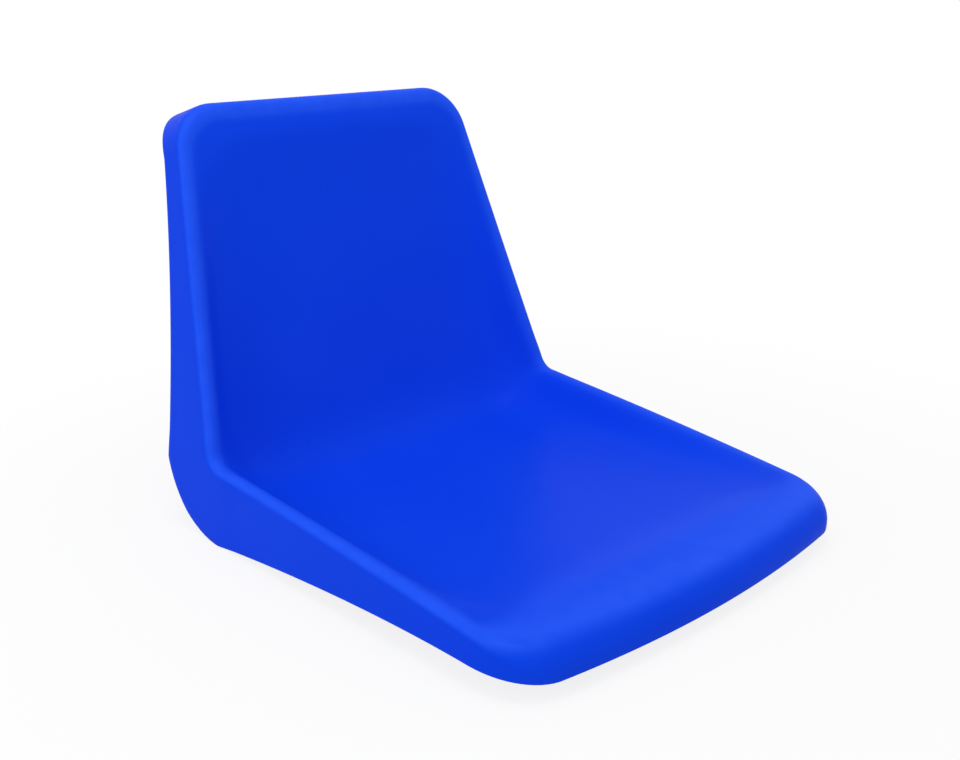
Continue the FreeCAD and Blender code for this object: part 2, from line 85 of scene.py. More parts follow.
# How finely the moulded surface is laid out
CORNER_STEPS = 9
EDGE_STEPS = 44
SEAT_STEPS = 40
HIP_APPROACH_STEPS = 12
HIP_STEPS = 26
BACK_STEPS = 34
SECTOR_RINGS = 26
ROLL_RINGS = 9
SKIRT_RINGS = 10
HIP_ZONE = 0.020
HIP_APPROACH = 0.060
FIELD_HALF_WIDTH = 0.090
FIELD_MARGIN = 0.100

# How far in from the rim a highlight is painted along the rolled edge, at the sides and at the front
EDGE_BAND = 0.012
FRONT_EDGE_BAND = 0.090

# How finely round forms are laid out, and which edges are sharp
BOSS_POINTS = 48
BOSS_EDGE_STEPS = 4
FOOT_STEPS = 6
RIB_STEPS = 48
RIB_END_STEPS = 8
RIB_EDGE_STEPS = 3
INSERT_POINTS = 48
THREAD_RINGS = 8
MARK_POINTS = 32
SHARP_ANGLE = math.radians(35)
LIP_ANGLE = math.radians(50)

# The mould's marks: the places from which they are cast onto the shell, and how far the pins' rows spread
UNDER_PAN = (0.0, 0.0, -0.1)
BEHIND_BACK = (0.0, 0.6, 0.22)
PAN_PIN_SPAN = (0.150, 0.120)
BACK_PIN_SPAN = (0.190, 0.150)

# How far before its starting place a ray to the shell sets out
RUN_UP = 0.1

# The floor's look: the share of plain white near the seat, and where and over what length it fades to white
FLOOR_WHITE = 0.84
FADE_START = 0.25
FADE_LENGTH = 0.6


# Sizes and colours that a user would change

def length(name, default, description):
    return bpy.props.FloatProperty(
        name=name, default=default, description=description, subtype="DISTANCE", unit="LENGTH", precision=5)


def angle(name, degrees, description):
    return bpy.props.FloatProperty(
        name=name, default=math.radians(degrees), description=description, subtype="ANGLE", unit="ROTATION")


def number(name, default, description):
    return bpy.props.FloatProperty(name=name, default=default, description=description, precision=4)


def colour(name, default, description):
    return bpy.props.FloatVectorProperty(
        name=name, default=default, description=description, subtype="COLOR", size=3, min=0, max=1)


class SEAT_PG_rim(bpy.types.PropertyGroup):
    """The rim's side view."""
    seat_length: length("Seat length", 0.3437, "Straight seat line, front edge to hip bend")
    back_length: length("Back length", 0.2946, "Straight back line, hip bend to top edge")
    seat_rise: angle("Seat rise", 3.7, "Slope of the seat line")
    back_lean: angle("Back lean", 18.3, "Lean of the back line from upright")
    rim_hip_radius: length("Hip bend", 0.0170, "Radius of the hip bend")
    front_droop: length("Front droop", 0.0083, "Drop of the front edge below the straight seat line")
    top_curl: length("Top curl", 0.0020, "How far the top edge bends forward of the straight back line")
    mount_setback: length("Mount setback", 0.1868, "Bolt pattern's middle, ahead of the seat line's end")
    mount_drop: length("Mount drop", 0.0718, "Boss faces, below the end of the seat line")


class SEAT_PG_outline(bpy.types.PropertyGroup):
    """The rim's outline, laid flat."""
    front_half_width: length("Front half width", 0.1999, "Half width at the front")
    hip_half_width: length("Hip half width", 0.2071, "Half width at the hip")
    top_half_width: length("Top half width", 0.1596, "Half width at the top")
    hip_blend: length("Hip blend", 0.038, "Half length of the width's change of taper at the hip")
    front_corner_radius: length("Front corners", 0.0332, "Radius of the front corners")
    top_corner_radius: length("Top corners", 0.0390, "Radius of the top corners")
    front_bow: length("Front bow", 0.0166, "How far the front edge bows out in its middle")
    bow_reach: length("Bow reach", 0.116, "How far in from the front edge its bow is felt")


class SEAT_PG_bucket(bpy.types.PropertyGroup):
    """The hollow that the sitter sits in."""
    pan_depth: length("Pan depth", 0.0680, "How far the pan's rear lies below the rim's hip corner")
    back_depth: length("Back depth", 0.0520, "How far the back's foot lies behind the rim's hip corner")
    lumbar_softness: length("Lumbar bend", 0.0620, "Reach of the middle bend between pan and back")
    hip_softness: length("Wall bend", 0.0800, "Reach of the side walls' bend at the hip")
    wall_width_front: length("Front walls", 0.1200, "Width of the side walls at the front")
    wall_width_hip: length("Hip walls", 0.1050, "Width of the side walls at the hip")
    wall_width_top: length("Top walls", 0.1050, "Width of the side walls at the top")
    front_fade: length("Front fade", 0.140, "Length over which the dish starts behind the front edge")
    top_fade: length("Top fade", 0.120, "Length over which the dish ends below the top edge")
    hollow_share: number("Hollow share", 0.15, "Share of the depth that is a wide hollow, not a side wall")
    ridge_share: number("Ridge share", 0.15, "Share of the walls' width that rounds off the ridge")
    hip_sink: number("Hip sink", 0.50, "Share of the depth at which the walls' bend has its corner")
    soft_share: number("Soft share", 0.50, "Share of the depth at which the walls' bend at the hip is soft")


class SEAT_PG_skirt(bpy.types.PropertyGroup):
    """The rolled edge and the skirt that hangs from it."""
    side_roll_radius: length("Side roll", 0.0068, "Outer radius of the rolled edge at the sides")
    front_roll_radius: length("Front roll", 0.0230, "Outer radius of the rolled edge at the front")
    top_roll_radius: length("Top roll", 0.0110, "Outer radius of the rolled edge at the top")
    skirt_hip: length("Skirt at hip", 0.0738, "Depth of the skirt at the hip")
    skirt_corner: length("Skirt at corner", 0.0247, "Depth of the skirt at the front end of the sides")
    skirt_shoulder: length("Skirt at shoulder", 0.0269, "Depth of the skirt at the top end of the sides")
    skirt_front: length("Skirt at front", 0.0248, "Depth of the skirt along the front")
    skirt_top: length("Skirt at top", 0.0494, "Depth of the skirt along the top")
    skirt_seat_power: number("Seat growth", 1.32, "How the depth grows along the seat, 1 is straight")
    skirt_back_power: number("Back growth", 1.8, "How the depth grows down the back, 1 is straight")
    draft: angle("Draft", 2.2, "Mould draft of the skirt")
    wall: length("Wall", 0.0045, "Thickness of the moulded wall")
    lip_rounding: length("Lip rounding", 0.0012, "Rounding of the skirt's free edge")


class SEAT_PG_stiffening(bpy.types.PropertyGroup):
    """The bosses, ribs and mould marks under the pan."""
    spacing_x: length("Spacing across", 0.240, "Distance between the inserts, side to side")
    spacing_y: length("Spacing along", 0.200, "Distance between the inserts, front to rear")
    boss_diameter: length("Boss diameter", 0.026, "Outer diameter of the bosses")
    boss_fillet: length("Boss fillet", 0.004, "Fillet between the bosses and the pan")
    boss_rounding: length("Boss rounding", 0.0008, "Rounding of the bosses' lower edges")
    rib_thickness: length("Rib thickness", 0.0035, "Thickness of the ribs")
    rib_rounding: length("Rib rounding", 0.0007, "Rounding of the ribs' lower edges")
    rib_fillet: length("Rib fillet", 0.002, "Fillet between the ribs and the pan")
    rib_setback: length("Rib setback", 0.006, "Ribs' lower edges above the boss faces")
    rib_overhang: length("Rib overhang", 0.030, "Length of the lower edges past the inserts' centre lines")
    rib_flare: length("Rib flare", 0.024, "How much longer each end is at the rim's height")
    relief_depth: length("Relief depth", 0.004, "Clear depth above the insert for the bolt's tip")
    relief_diameter: length("Relief diameter", 0.0086, "Clear diameter above the insert for the bolt's tip")
    mark_diameter: length("Pin marks", 0.009, "Diameter of the marks that the ejector pins leave")
    mark_height: length("Pin mark height", 0.0003, "How far the pin marks stand out")
    gate_diameter: length("Gate mark", 0.018, "Diameter of the gate's stub at its foot")
    gate_height: length("Gate height", 0.0028, "How far the gate's stub stands out")


class SEAT_PG_insert(bpy.types.PropertyGroup):
    """The threaded inserts."""
    diameter: length("Diameter", 0.012, "Outer diameter of the insert")
    height: length("Length", 0.015, "Length of the insert")
    core: length("Core", 0.0068, "Core diameter of its thread")
    thread: length("Thread", 0.0080, "Outer diameter of its thread")
    pitch: length("Pitch", 0.00125, "Pitch of its thread")
    groove_depth: length("Groove depth", 0.001, "Depth of the anchor groove")
    groove_width: length("Groove width", 0.003, "Width of the anchor groove")
    knurl_depth: length("Knurl depth", 0.0003, "Depth of the knurls")
    chamfer: length("Chamfer", 0.0004, "Lead-in chamfer of the thread")


class SEAT_PG_finish(bpy.types.PropertyGroup):
    """Colours and gloss."""
    plastic: colour("Plastic", (0.003, 0.052, 0.77), "Colour of the moulded plastic")
    # A lighter blue painted on the rolled edge as a highlight, where the light catches the ridge.
    plastic_painted_highlight: colour("Plastic, rubbed", (0.026, 0.122, 0.98), "Colour of the rubbed rolled edge")
    brass: colour("Brass", (0.80, 0.58, 0.26), "Colour of the inserts")
    brass_dull: colour("Brass, dulled", (0.42, 0.28, 0.12), "Colour of the inserts where they are tarnished")
    floor: colour("Floor", (0.86, 0.86, 0.86), "Colour of the floor")
    plastic_roughness: number("Plastic roughness", 0.40, "Roughness of the satin plastic")
    plastic_gloss: number("Plastic gloss", 0.02, "Strength of the plastic's gloss")
    cloud_share: number("Clouds", 0.18, "How much the plastic's colour clouds over")
    # How much of the painted highlight on the rolled edge shows.
    rubbed_share: number("Rubbing", 0.55, "How much of the rubbed colour shows")
    grain_depth: length("Grain depth", 0.00004, "Depth of the mould's fine grain")
    turning_depth: length("Turning depth", 0.00002, "Depth of the brass's turning marks")


class SEAT_PG_studio(bpy.types.PropertyGroup):
    """The camera and the lamps."""
    azimuth: angle("Azimuth", -43.447, "Direction of the camera, from straight in front")
    elevation: angle("Elevation", 18.383, "Height of the camera over the level")
    distance: length("Distance", 1.172091, "From the camera to the middle of the hip")
    lens: number("Lens", 44.275, "Focal length, mm, on a 36 mm sensor")
    hip_pixel_x: number("Hip across", 398.535, "The hip's middle in the picture, pixels across")
    hip_pixel_y: number("Hip down", 410.127, "The hip's middle in the picture, pixels down")
    key_power: number("Key lamp", 13.5, "Power of the lamp overhead, W")
    side_power: number("Side lamp", 8.5, "Power of the lamp beside the seat, W")
    daylight: number("Daylight", 0.70, "Strength of the even light all round")


SIZE_GROUPS = {
    "seat_rim": SEAT_PG_rim,
    "seat_outline": SEAT_PG_outline,
    "seat_bucket": SEAT_PG_bucket,
    "seat_skirt": SEAT_PG_skirt,
    "seat_stiffening": SEAT_PG_stiffening,
    "seat_insert": SEAT_PG_insert,
    "seat_finish": SEAT_PG_finish,
    "seat_studio": SEAT_PG_studio,
}
SHELL_GROUPS = ("seat_rim", "seat_outline", "seat_bucket", "seat_skirt")


def sizes(scene, *groups):
    """The values of the named groups together, by name."""
    values = {}
    for group in groups:
        for name in SIZE_GROUPS[group].__annotations__:
            values[name] = getattr(getattr(scene, group), name)
    return SimpleNamespace(**values)


# Wiring of node trees

def math_operator(operation, reflected=False):
    """An operator on wires, or its reflected form, which adds a Math node of this operation."""
    def worked_out(wire, other):
        values = (other, wire) if reflected else (wire, other)
        return wire.bench.maths(operation, *values)
    return worked_out


class Wire:
    """A node's output. Sums on wires add the Math nodes that work them out."""

    def __init__(self, bench, socket):
        self.bench = bench
        self.socket = socket

    def also(self, name):
        """Another output of the same node."""
        return Wire(self.bench, self.socket.node.outputs[name])

    def __neg__(self):
        return self * -1.0

    __add__ = math_operator("ADD")
    __radd__ = math_operator("ADD", reflected=True)
    __sub__ = math_operator("SUBTRACT")
    __rsub__ = math_operator("SUBTRACT", reflected=True)
    __mul__ = math_operator("MULTIPLY")
    __rmul__ = math_operator("MULTIPLY", reflected=True)
    __truediv__ = math_operator("DIVIDE")
    __rtruediv__ = math_operator("DIVIDE", reflected=True)
    __pow__ = math_operator("POWER")
    __rpow__ = math_operator("POWER", reflected=True)


class Bench:
    """A node tree on which nodes are set out and wired."""

    def __init__(self, tree):
        self.tree = tree

    def node(self, kind, settings=None, sockets=None, output=0):
        """Adds a node: its settings first, then its sockets' values or wires. Gives one output's wire."""
        node = self.tree.nodes.new(kind)
        for name, value in (settings or {}).items():
            setattr(node, name, value)
        for name, value in (sockets or {}).items():
            if isinstance(value, Wire):
                self.tree.links.new(value.socket, node.inputs[name])
            else:
                node.inputs[name].default_value = value
        return Wire(self, node.outputs[output]) if node.outputs else None

    def maths(self, operation, *values):
        return self.node("ShaderNodeMath", {"operation": operation}, dict(enumerate(values)))

    def blend(self, factor, first, second):
        """A colour between two colours."""
        sockets = {"Factor": factor, 6: opaque(first), 7: opaque(second)}
        return self.node("ShaderNodeMix", {"data_type": "RGBA"}, sockets, 2)

    def attribute(self, name, kind="FLOAT"):
        settings = {"data_type": kind}
        return self.node("GeometryNodeInputNamedAttribute", settings, {"Name": name}, "Attribute")

    def parts(self, vector):
        """The three numbers of a vector."""
        x = self.node("ShaderNodeSeparateXYZ", {}, {"Vector": vector}, "X")
        return x, x.also("Y"), x.also("Z")


def opaque(value):
    return value if isinstance(value, Wire) else (*value, 1.0)


def worked(operation, plain):
    """A function of plain numbers that adds a Math node instead where a value is a wire."""
    def function(*values):
        for value in values:
            if isinstance(value, Wire):
                return value.bench.maths(operation, *values)
        return plain(*values)
    return function


sine = worked("SINE", math.sin)
cosine = worked("COSINE", math.cos)
tangent = worked("TANGENT", math.tan)
root = worked("SQRT", math.sqrt)
least = worked("MINIMUM", min)
most = worked("MAXIMUM", max)
size_of = worked("ABSOLUTE", abs)


def held(value):
    """A value kept between 0 and 1."""
    return least(most(value, 0.0), 1.0)


def ease(share):
    """0 to 1 with a level start and end."""
    share = held(share)
    return share * share * (3.0 - 2.0 * share)


def mix(first, second, share):
    return first + (second - first) * share


# The seat's rules, which work on numbers and on wires alike

def hip_sums(s):
    """Lengths along the rim that follow from its sizes."""
    turn = math.pi / 2 - s.back_lean - s.seat_rise
    bend = s.rim_hip_radius * turn
    middle = s.seat_length + bend / 2
    end = s.seat_length + bend
    return SimpleNamespace(turn=turn, bend=bend, middle=middle, end=end, rim=end + s.back_length)


def rim_line(s, hip, way):
    """The rim's side view: y, z and its slope angle."""
    ahead = most(s.seat_length - way, 0.0)
    above = most(way - hip.end, 0.0)
    slope = s.seat_rise + least(most(way - s.seat_length, 0.0), hip.bend) / s.rim_hip_radius
    y = s.mount_setback + s.rim_hip_radius * (sine(slope) - sine(s.seat_rise))
    z = s.mount_drop + s.rim_hip_radius * (cosine(s.seat_rise) - cosine(slope))
    y = y + (above - ahead) * cosine(slope)
    z = z + (above - ahead) * sine(slope)
    ahead_share = ahead / s.seat_length
    above_share = above / s.back_length
    sag = s.front_droop * ahead_share * ahead_share - s.top_curl * above_share * above_share
    y = y + sag * sine(slope)
    z = z - sag * cosine(slope)
    bend = 2.0 * s.front_droop * ahead_share / s.seat_length + 2.0 * s.top_curl * above_share / s.back_length
    return y, z, slope + bend


def hip_corner(s, hip):
    """Where the rim's straight seat line and straight back line would meet: y and z."""
    reach = s.rim_hip_radius * tangent(hip.turn / 2)
    return s.mount_setback + reach * cosine(s.seat_rise), s.mount_drop + reach * sine(s.seat_rise)


def soft_line(s, hip, way, corner, softness):
    """A side view between the rim's ends that passes a corner in a soft bend, at the place for this way."""
    front_y, front_z, _ = rim_line(s, hip, 0.0)
    top_y, top_z, _ = rim_line(s, hip, hip.rim)
    front_y, front_z = front_y - corner[0], front_z - corner[1]
    top_y, top_z = top_y - corner[0], top_z - corner[1]
    pan = root(front_y * front_y + front_z * front_z)
    back = root(top_y * top_y + top_z * top_z)
    past = (least(way, hip.middle) / hip.middle - 1.0) * pan
    past = past + most(way - hip.middle, 0.0) / (hip.rim - hip.middle) * back
    spread = root(past * past + softness * softness)
    before = (spread - past) / (2.0 * pan)
    after = (spread + past) / (2.0 * back)
    return corner[0] + front_y * before + top_y * after, corner[1] + front_z * before + top_z * after


def face_line(s, hip, way, share):
    """The upper face's side view: the rim's at share 0 and the bucket's middle line at share 1."""
    corner = hip_corner(s, hip)
    foot = (corner[0] + s.back_depth, corner[1] - s.pan_depth)
    wall_corner = [mix(high, low, s.hip_sink) for high, low in zip(corner, foot)]
    rim = rim_line(s, hip, way)
    walls = soft_line(s, hip, way, wall_corner, s.hip_softness)
    floor = soft_line(s, hip, way, foot, s.lumbar_softness)
    softened = ease(share / s.soft_share)
    return [mix(mix(on_rim, on_wall, softened), on_floor, share)
            for on_rim, on_wall, on_floor in zip(rim, walls, floor)]


def half_width(s, hip, way):
    """The plain outline's half width."""
    below = mix(s.hip_half_width, s.front_half_width, (hip.middle - way) / hip.middle)
    above = mix(s.hip_half_width, s.top_half_width, (way - hip.middle) / (hip.rim - hip.middle))
    return mix(below, above, ease((way - hip.middle) / (2.0 * s.hip_blend) + 0.5))


def seat_and_back(hip, way):
    """How far a place is along the seat to the hip, and from the top down to the hip."""
    return held(way / hip.middle), held((hip.rim - way) / (hip.rim - hip.middle))


def bucket_share(s, hip, x, way):
    """How far the upper face is sunk from the rim's surface, 0, to the floor line, 1."""
    seat, back = seat_and_back(hip, way)
    walls = mix(s.wall_width_front, s.wall_width_hip, seat) + mix(s.wall_width_top, s.wall_width_hip, back)
    width = half_width(s, hip, way)
    near_side = 1.0 - held((width - size_of(x)) / (walls - s.wall_width_hip))
    near_end = 1.0 - held(least(way / s.front_fade, (hip.rim - way) / s.top_fade))
    near_side, near_end = near_side * near_side, near_end * near_end
    inward = held(1.0 - root(root(near_side * near_side + near_end * near_end)))
    rounding = s.ridge_share * s.ridge_share
    rounded = (root(inward * inward + rounding) - s.ridge_share) / (root(1.0 + rounding) - s.ridge_share)
    raised = 1.0 - rounded
    raised = raised * raised
    across = x / width
    return (1.0 - raised * raised) * (1.0 - s.hollow_share * across * across)


def facing(out):
    """How far a place faces one way, from 0 to 1, from its outward direction's part that way."""
    ahead = most(out, 0.0)
    return ahead * ahead


def skirt_depth(s, hip, way, front, top):
    """Depth of the skirt below the rim, for a place whose outward direction is this much front and top."""
    seat, back = seat_and_back(hip, way)
    side = mix(s.skirt_corner, s.skirt_hip, seat ** s.skirt_seat_power)
    side = side + mix(s.skirt_shoulder, s.skirt_hip, back ** s.skirt_back_power) - s.skirt_hip
    return side * (1.0 - front - top) + s.skirt_front * front + s.skirt_top * top


# The moulding laid flat

def bowed(s, x, way):
    """A place of the plain rounded outline, moved by the bow of the front edge."""
    across = x / s.front_half_width
    return x, way - s.front_bow * (1 - across * across) * ease(1 - way / s.bow_reach)


def station(s, x, way, turn):
    """A place on the bowed outline with its outward direction. The plain outline's outward angle is turn."""
    step = 0.1 * MM
    before = bowed(s, x + step * math.sin(turn), way - step * math.cos(turn))
    after = bowed(s, x - step * math.sin(turn), way + step * math.cos(turn))
    gap = math.dist(before, after)
    place_x, place_way = bowed(s, x, way)
    return SimpleNamespace(
        x=place_x, way=place_way, out_x=(after[1] - before[1]) / gap, out_way=(before[0] - after[0]) / gap)


def mirrored(places):
    """The same stations on the seat's other side."""
    return [SimpleNamespace(x=-p.x, way=p.way, out_x=-p.out_x, out_way=p.out_way) for p in places]


def steps(start, end, count):
    """Evenly spaced values after start, up to and with end."""
    return [mix(start, end, number / count) for number in range(1, count + 1)]


def corner_arc(s, centre_x, centre_way, radius, start, end):
    """Stations round a corner arc, from one outward angle to another."""
    turns = [start] + steps(start, end, CORNER_STEPS)
    return [station(s, centre_x + radius * math.cos(turn), centre_way + radius * math.sin(turn), turn)
            for turn in turns]


def flat_outline(s, hip):
    """The outline's front, right side and top, each from the middle of one corner to that of the next."""
    front_taper = math.atan((s.hip_half_width - s.front_half_width) / hip.middle)
    top_taper = math.atan((s.hip_half_width - s.top_half_width) / (hip.rim - hip.middle))
    front_radius, top_radius = s.front_corner_radius, s.top_corner_radius
    front_x = half_width(s, hip, front_radius) - front_radius / math.cos(front_taper)
    top_way = hip.rim - top_radius
    top_x = half_width(s, hip, top_way) - top_radius / math.cos(top_taper)

    def edge(centre_x, centre_way, radius, outward):
        arc = corner_arc(s, centre_x, centre_way, radius, outward, outward / 2)
        way = centre_way + math.copysign(radius, outward)
        straight = [station(s, x, way, outward) for x in steps(-centre_x, centre_x, EDGE_STEPS)]
        return mirrored(arc)[::-1] + straight + arc[1:]

    low = corner_arc(s, front_x, front_radius, front_radius, -math.pi / 4, -front_taper)
    high = corner_arc(s, top_x, top_way, top_radius, top_taper, math.pi / 4)
    around_hip = [hip.middle + gap for gap in (-HIP_APPROACH, -HIP_ZONE, HIP_ZONE, HIP_APPROACH)]
    stops = [low[-1].way, *around_hip, high[0].way]
    counts = (SEAT_STEPS, HIP_APPROACH_STEPS, HIP_STEPS, HIP_APPROACH_STEPS, BACK_STEPS)
    ways = [way for start, end, count in zip(stops, stops[1:], counts) for way in steps(start, end, count)]
    side = []
    for way in ways[:-1]:
        slope = (half_width(s, hip, way + MM) - half_width(s, hip, way - MM)) / (2 * MM)
        side.append(station(s, half_width(s, hip, way), way, -math.atan(slope)))
    front = edge(front_x, front_radius, front_radius, -math.pi / 2)
    top = edge(top_x, top_way, top_radius, math.pi / 2)
    return front, low + side + high, top


def length_shares(places):
    """Each station's share of the length along its side of the outline."""
    lengths = [0.0]
    for before, after in zip(places, places[1:]):
        lengths.append(lengths[-1] + math.hypot(after.x - before.x, after.way - before.way))
    return [covered / lengths[-1] for covered in lengths]


def ring_order(rows, columns):
    """The border places of a grid, in order round it: along the front, up, back along the top, and down."""
    order = [(column, 0) for column in range(columns)]
    order += [(columns - 1, row) for row in range(1, rows)]
    order += [(column, rows - 1) for column in range(columns - 2, -1, -1)]
    order += [(0, row) for row in range(rows - 2, 0, -1)]
    return order


def rubbed_roll(place, turn):
    """How strongly the painted highlight lies on the roll: down to its outer face at the sides, and only near
    the ridge at the front.
    """
    return ease(mix(2.0, 1.0, facing(-place.out_way)) - 2.0 * turn)


def flat_moulding(s, hip):
    """A mesh of the moulding laid flat: a field, rings out to the rim, and rings for the roll and the skirt.

    Its attributes say where each point belongs: "turn" round the rolled edge and "drop" down the skirt, both
    from 0 to 1, "outward", the direction across the edge, and "edge", 1 where a highlight is painted on the
    rolled edge."""
    front, right, top = flat_outline(s, hip)
    left = mirrored(right)
    loop = front[:-1] + right[:-1] + top[:0:-1] + left[:0:-1]
    across, upward = length_shares(front), length_shares(right)
    xs = [mix(-FIELD_HALF_WIDTH, FIELD_HALF_WIDTH, share) for share in across]
    ways = [mix(FIELD_MARGIN, hip.rim - FIELD_MARGIN, share) for share in upward]
    columns, rows = len(xs), len(ways)
    points, turns, drops, outwards, edges, faces = [], [], [], [], [], []

    def add(x, way, turn=0.0, drop=0.0, outward=(0.0, 0.0), edge=0.0):
        points.append((x, way, 0.0))
        turns.append(turn)
        drops.append(drop)
        outwards.append((*outward, 0.0))
        edges.append(edge)
        return len(points) - 1

    grid = [[add(x, way) for x in xs] for way in ways]
    for row in range(rows - 1):
        for column in range(columns - 1):
            faces.append((grid[row][column], grid[row][column + 1],
                          grid[row + 1][column + 1], grid[row + 1][column]))
    border = ring_order(rows, columns)
    rings = [[grid[row][column] for column, row in border]]
    starts = [(xs[column], ways[row]) for column, row in border]
    for share in steps(0.0, 1.0, SECTOR_RINGS):
        ring = []
        for (x, way), place in zip(starts, loop):
            left_over = (1 - share) * math.hypot(place.x - x, place.way - way)
            # The painted highlight fades in over this band inside the rim, wider along the front.
            band = mix(EDGE_BAND, FRONT_EDGE_BAND, facing(-place.out_way))
            rim_place = (place.out_x, place.out_way) if share == 1 else (0.0, 0.0)
            ring.append(add(mix(x, place.x, share), mix(way, place.way, share), outward=rim_place,
                            edge=ease(1 - left_over / band)))
        rings.append(ring)
    for turn in steps(0.0, 1.0, ROLL_RINGS):
        rings.append([add(p.x, p.way, turn, 0.0, (p.out_x, p.out_way), rubbed_roll(p, turn)) for p in loop])
    for drop in steps(0.0, 1.0, SKIRT_RINGS):
        rings.append([add(p.x, p.way, 1.0, drop, (p.out_x, p.out_way)) for p in loop])
    count = len(loop)
    for inner, outer in zip(rings, rings[1:]):
        for here in range(count):
            there = (here + 1) % count
            faces.append((inner[here], outer[here], outer[there], inner[there]))
    mesh = bpy.data.meshes.new("moulding_laid_flat")
    mesh.from_pydata(points, [], faces)
    for name, values in (("turn", turns), ("drop", drops), ("edge", edges)):
        mesh.attributes.new(name, "FLOAT", "POINT").data.foreach_set("value", values)
    flat_values = [value for outward in outwards for value in outward]
    mesh.attributes.new("outward", "FLOAT_VECTOR", "POINT").data.foreach_set("vector", flat_values)
    return mesh


# Geometry Nodes

def new_tree(name, inputs):
    """A Geometry Nodes tree with these named inputs: (name, socket type)."""
    tree = bpy.data.node_groups.new(name, "GeometryNodeTree")
    tree.is_modifier = True
    tree.interface.new_socket(name="Geometry", in_out="INPUT", socket_type="NodeSocketGeometry")
    for input_name, kind in inputs:
        tree.interface.new_socket(name=input_name, in_out="INPUT", socket_type=kind)
    tree.interface.new_socket(name="Geometry", in_out="OUTPUT", socket_type="NodeSocketGeometry")
    bench = Bench(tree)
    return bench, bench.node("NodeGroupInput")


def finish_tree(bench, geometry, material):
    """Realizes what is repeated, gives it its material and puts it out."""
    real = bench.node("GeometryNodeRealizeInstances", {}, {"Geometry": geometry})
    dressed = bench.node("GeometryNodeSetMaterial", {}, {"Geometry": real, "Material": material})
    bench.node("NodeGroupOutput", {}, {"Geometry": dressed})


def size_inputs(groups):
    return [(name, "NodeSocketFloat") for group in groups for name in SIZE_GROUPS[group].__annotations__]


def bending_tree():
    """Bends the flat moulding along the rim's side view, sinks the bucket and turns the skirt down."""
    inputs = size_inputs(SHELL_GROUPS)
    bench, given = new_tree("bend_the_moulding", inputs + [("Material", "NodeSocketMaterial")])
    s = SimpleNamespace(**{name: given.also(name) for name, _ in inputs})
    hip = hip_sums(s)
    x, way, _ = bench.parts(bench.node("GeometryNodeInputPosition"))
    out_x, out_way, _ = bench.parts(bench.attribute("outward", "FLOAT_VECTOR"))
    _, _, slope = rim_line(s, hip, way)
    face_y, face_z = face_line(s, hip, way, bucket_share(s, hip, x, way))
    front, top = facing(-out_way), facing(out_way)
    radius = s.side_roll_radius * (1.0 - front - top) + s.front_roll_radius * front + s.top_roll_radius * top
    end = math.pi / 2 - s.draft
    turn = bench.attribute("turn") * end
    hanging = (skirt_depth(s, hip, way, front, top) - radius * (1.0 - cosine(end))) / sine(end)
    hanging = hanging * bench.attribute("drop")
    out = radius * sine(turn) + hanging * cosine(end)
    up = radius * (cosine(turn) - 1.0) - hanging * sine(end)
    along = out * out_way
    y = face_y + along * cosine(slope) - up * sine(slope)
    z = face_z + along * sine(slope) + up * cosine(slope)
    place = bench.node("ShaderNodeCombineXYZ", {}, {"X": x + out * out_x, "Y": y, "Z": z})
    bent = bench.node("GeometryNodeSetPosition", {}, {"Geometry": given, "Position": place})
    smooth = bench.node("GeometryNodeSetShadeSmooth", {}, {0: bent})
    finish_tree(bench, smooth, given.also("Material"))
    return bench.tree


def ray(bench, target, start, heading):
    """Where a ray meets the shell: the node's hit position, with its other outputs at hand."""
    return bench.node("GeometryNodeRaycast", {}, {
        "Target Geometry": target, "Source Position": start, "Ray Direction": heading, "Ray Length": 1.0,
    }, "Hit Position")


def pattern(bench, size_x, size_y, count_x, count_y, form):
    """Copies of a form on a grid of places."""
    places = bench.node("GeometryNodeMeshGrid", {}, {
        "Size X": size_x, "Size Y": size_y, "Vertices X": count_x, "Vertices Y": count_y})
    return bench.node("GeometryNodeInstanceOnPoints", {}, {"Points": places, "Instance": form})


def model_of(bench, wire):
    settings = {"transform_space": "ORIGINAL"}
    return bench.node("GeometryNodeObjectInfo", settings, {"Object": wire}, "Geometry")


def stiffening_tree():
    """Sets out four bosses and two pairs of ribs, and lets their feet follow the pan's underside."""
    inputs = [("Spacing across", "NodeSocketFloat"), ("Spacing along", "NodeSocketFloat")]
    inputs += [(name, "NodeSocketObject") for name in ("Shell", "Boss", "Cross rib", "Long rib")]
    bench, given = new_tree("stand_under_the_pan", inputs + [("Material", "NodeSocketMaterial")])
    across, along = given.also("Spacing across"), given.also("Spacing along")
    bosses = pattern(bench, across, along, 2, 2, model_of(bench, given.also("Boss")))
    cross = pattern(bench, 0.0, along, 1, 2, model_of(bench, given.also("Cross rib")))
    long = pattern(bench, across, 0.0, 2, 1, model_of(bench, given.also("Long rib")))
    join = bench.tree.nodes.new("GeometryNodeJoinGeometry")
    for group in (long, cross, bosses):
        bench.tree.links.new(group.socket, join.inputs["Geometry"])
    joined = Wire(bench, join.outputs["Geometry"])
    standing = bench.node("GeometryNodeRealizeInstances", {}, {"Geometry": joined})
    x, y, z = bench.parts(bench.node("GeometryNodeInputPosition"))
    below = bench.node("ShaderNodeCombineXYZ", {}, {"X": x, "Y": y, "Z": -RUN_UP})
    _, _, ceiling = bench.parts(ray(bench, model_of(bench, given.also("Shell")), below, UP))
    height = mix(z, ceiling + z, bench.attribute("foot"))
    place = bench.node("ShaderNodeCombineXYZ", {}, {"X": x, "Y": y, "Z": height})
    seated = bench.node("GeometryNodeSetPosition", {}, {"Geometry": standing, "Position": place})
    finish_tree(bench, seated, given.also("Material"))
    return bench.tree


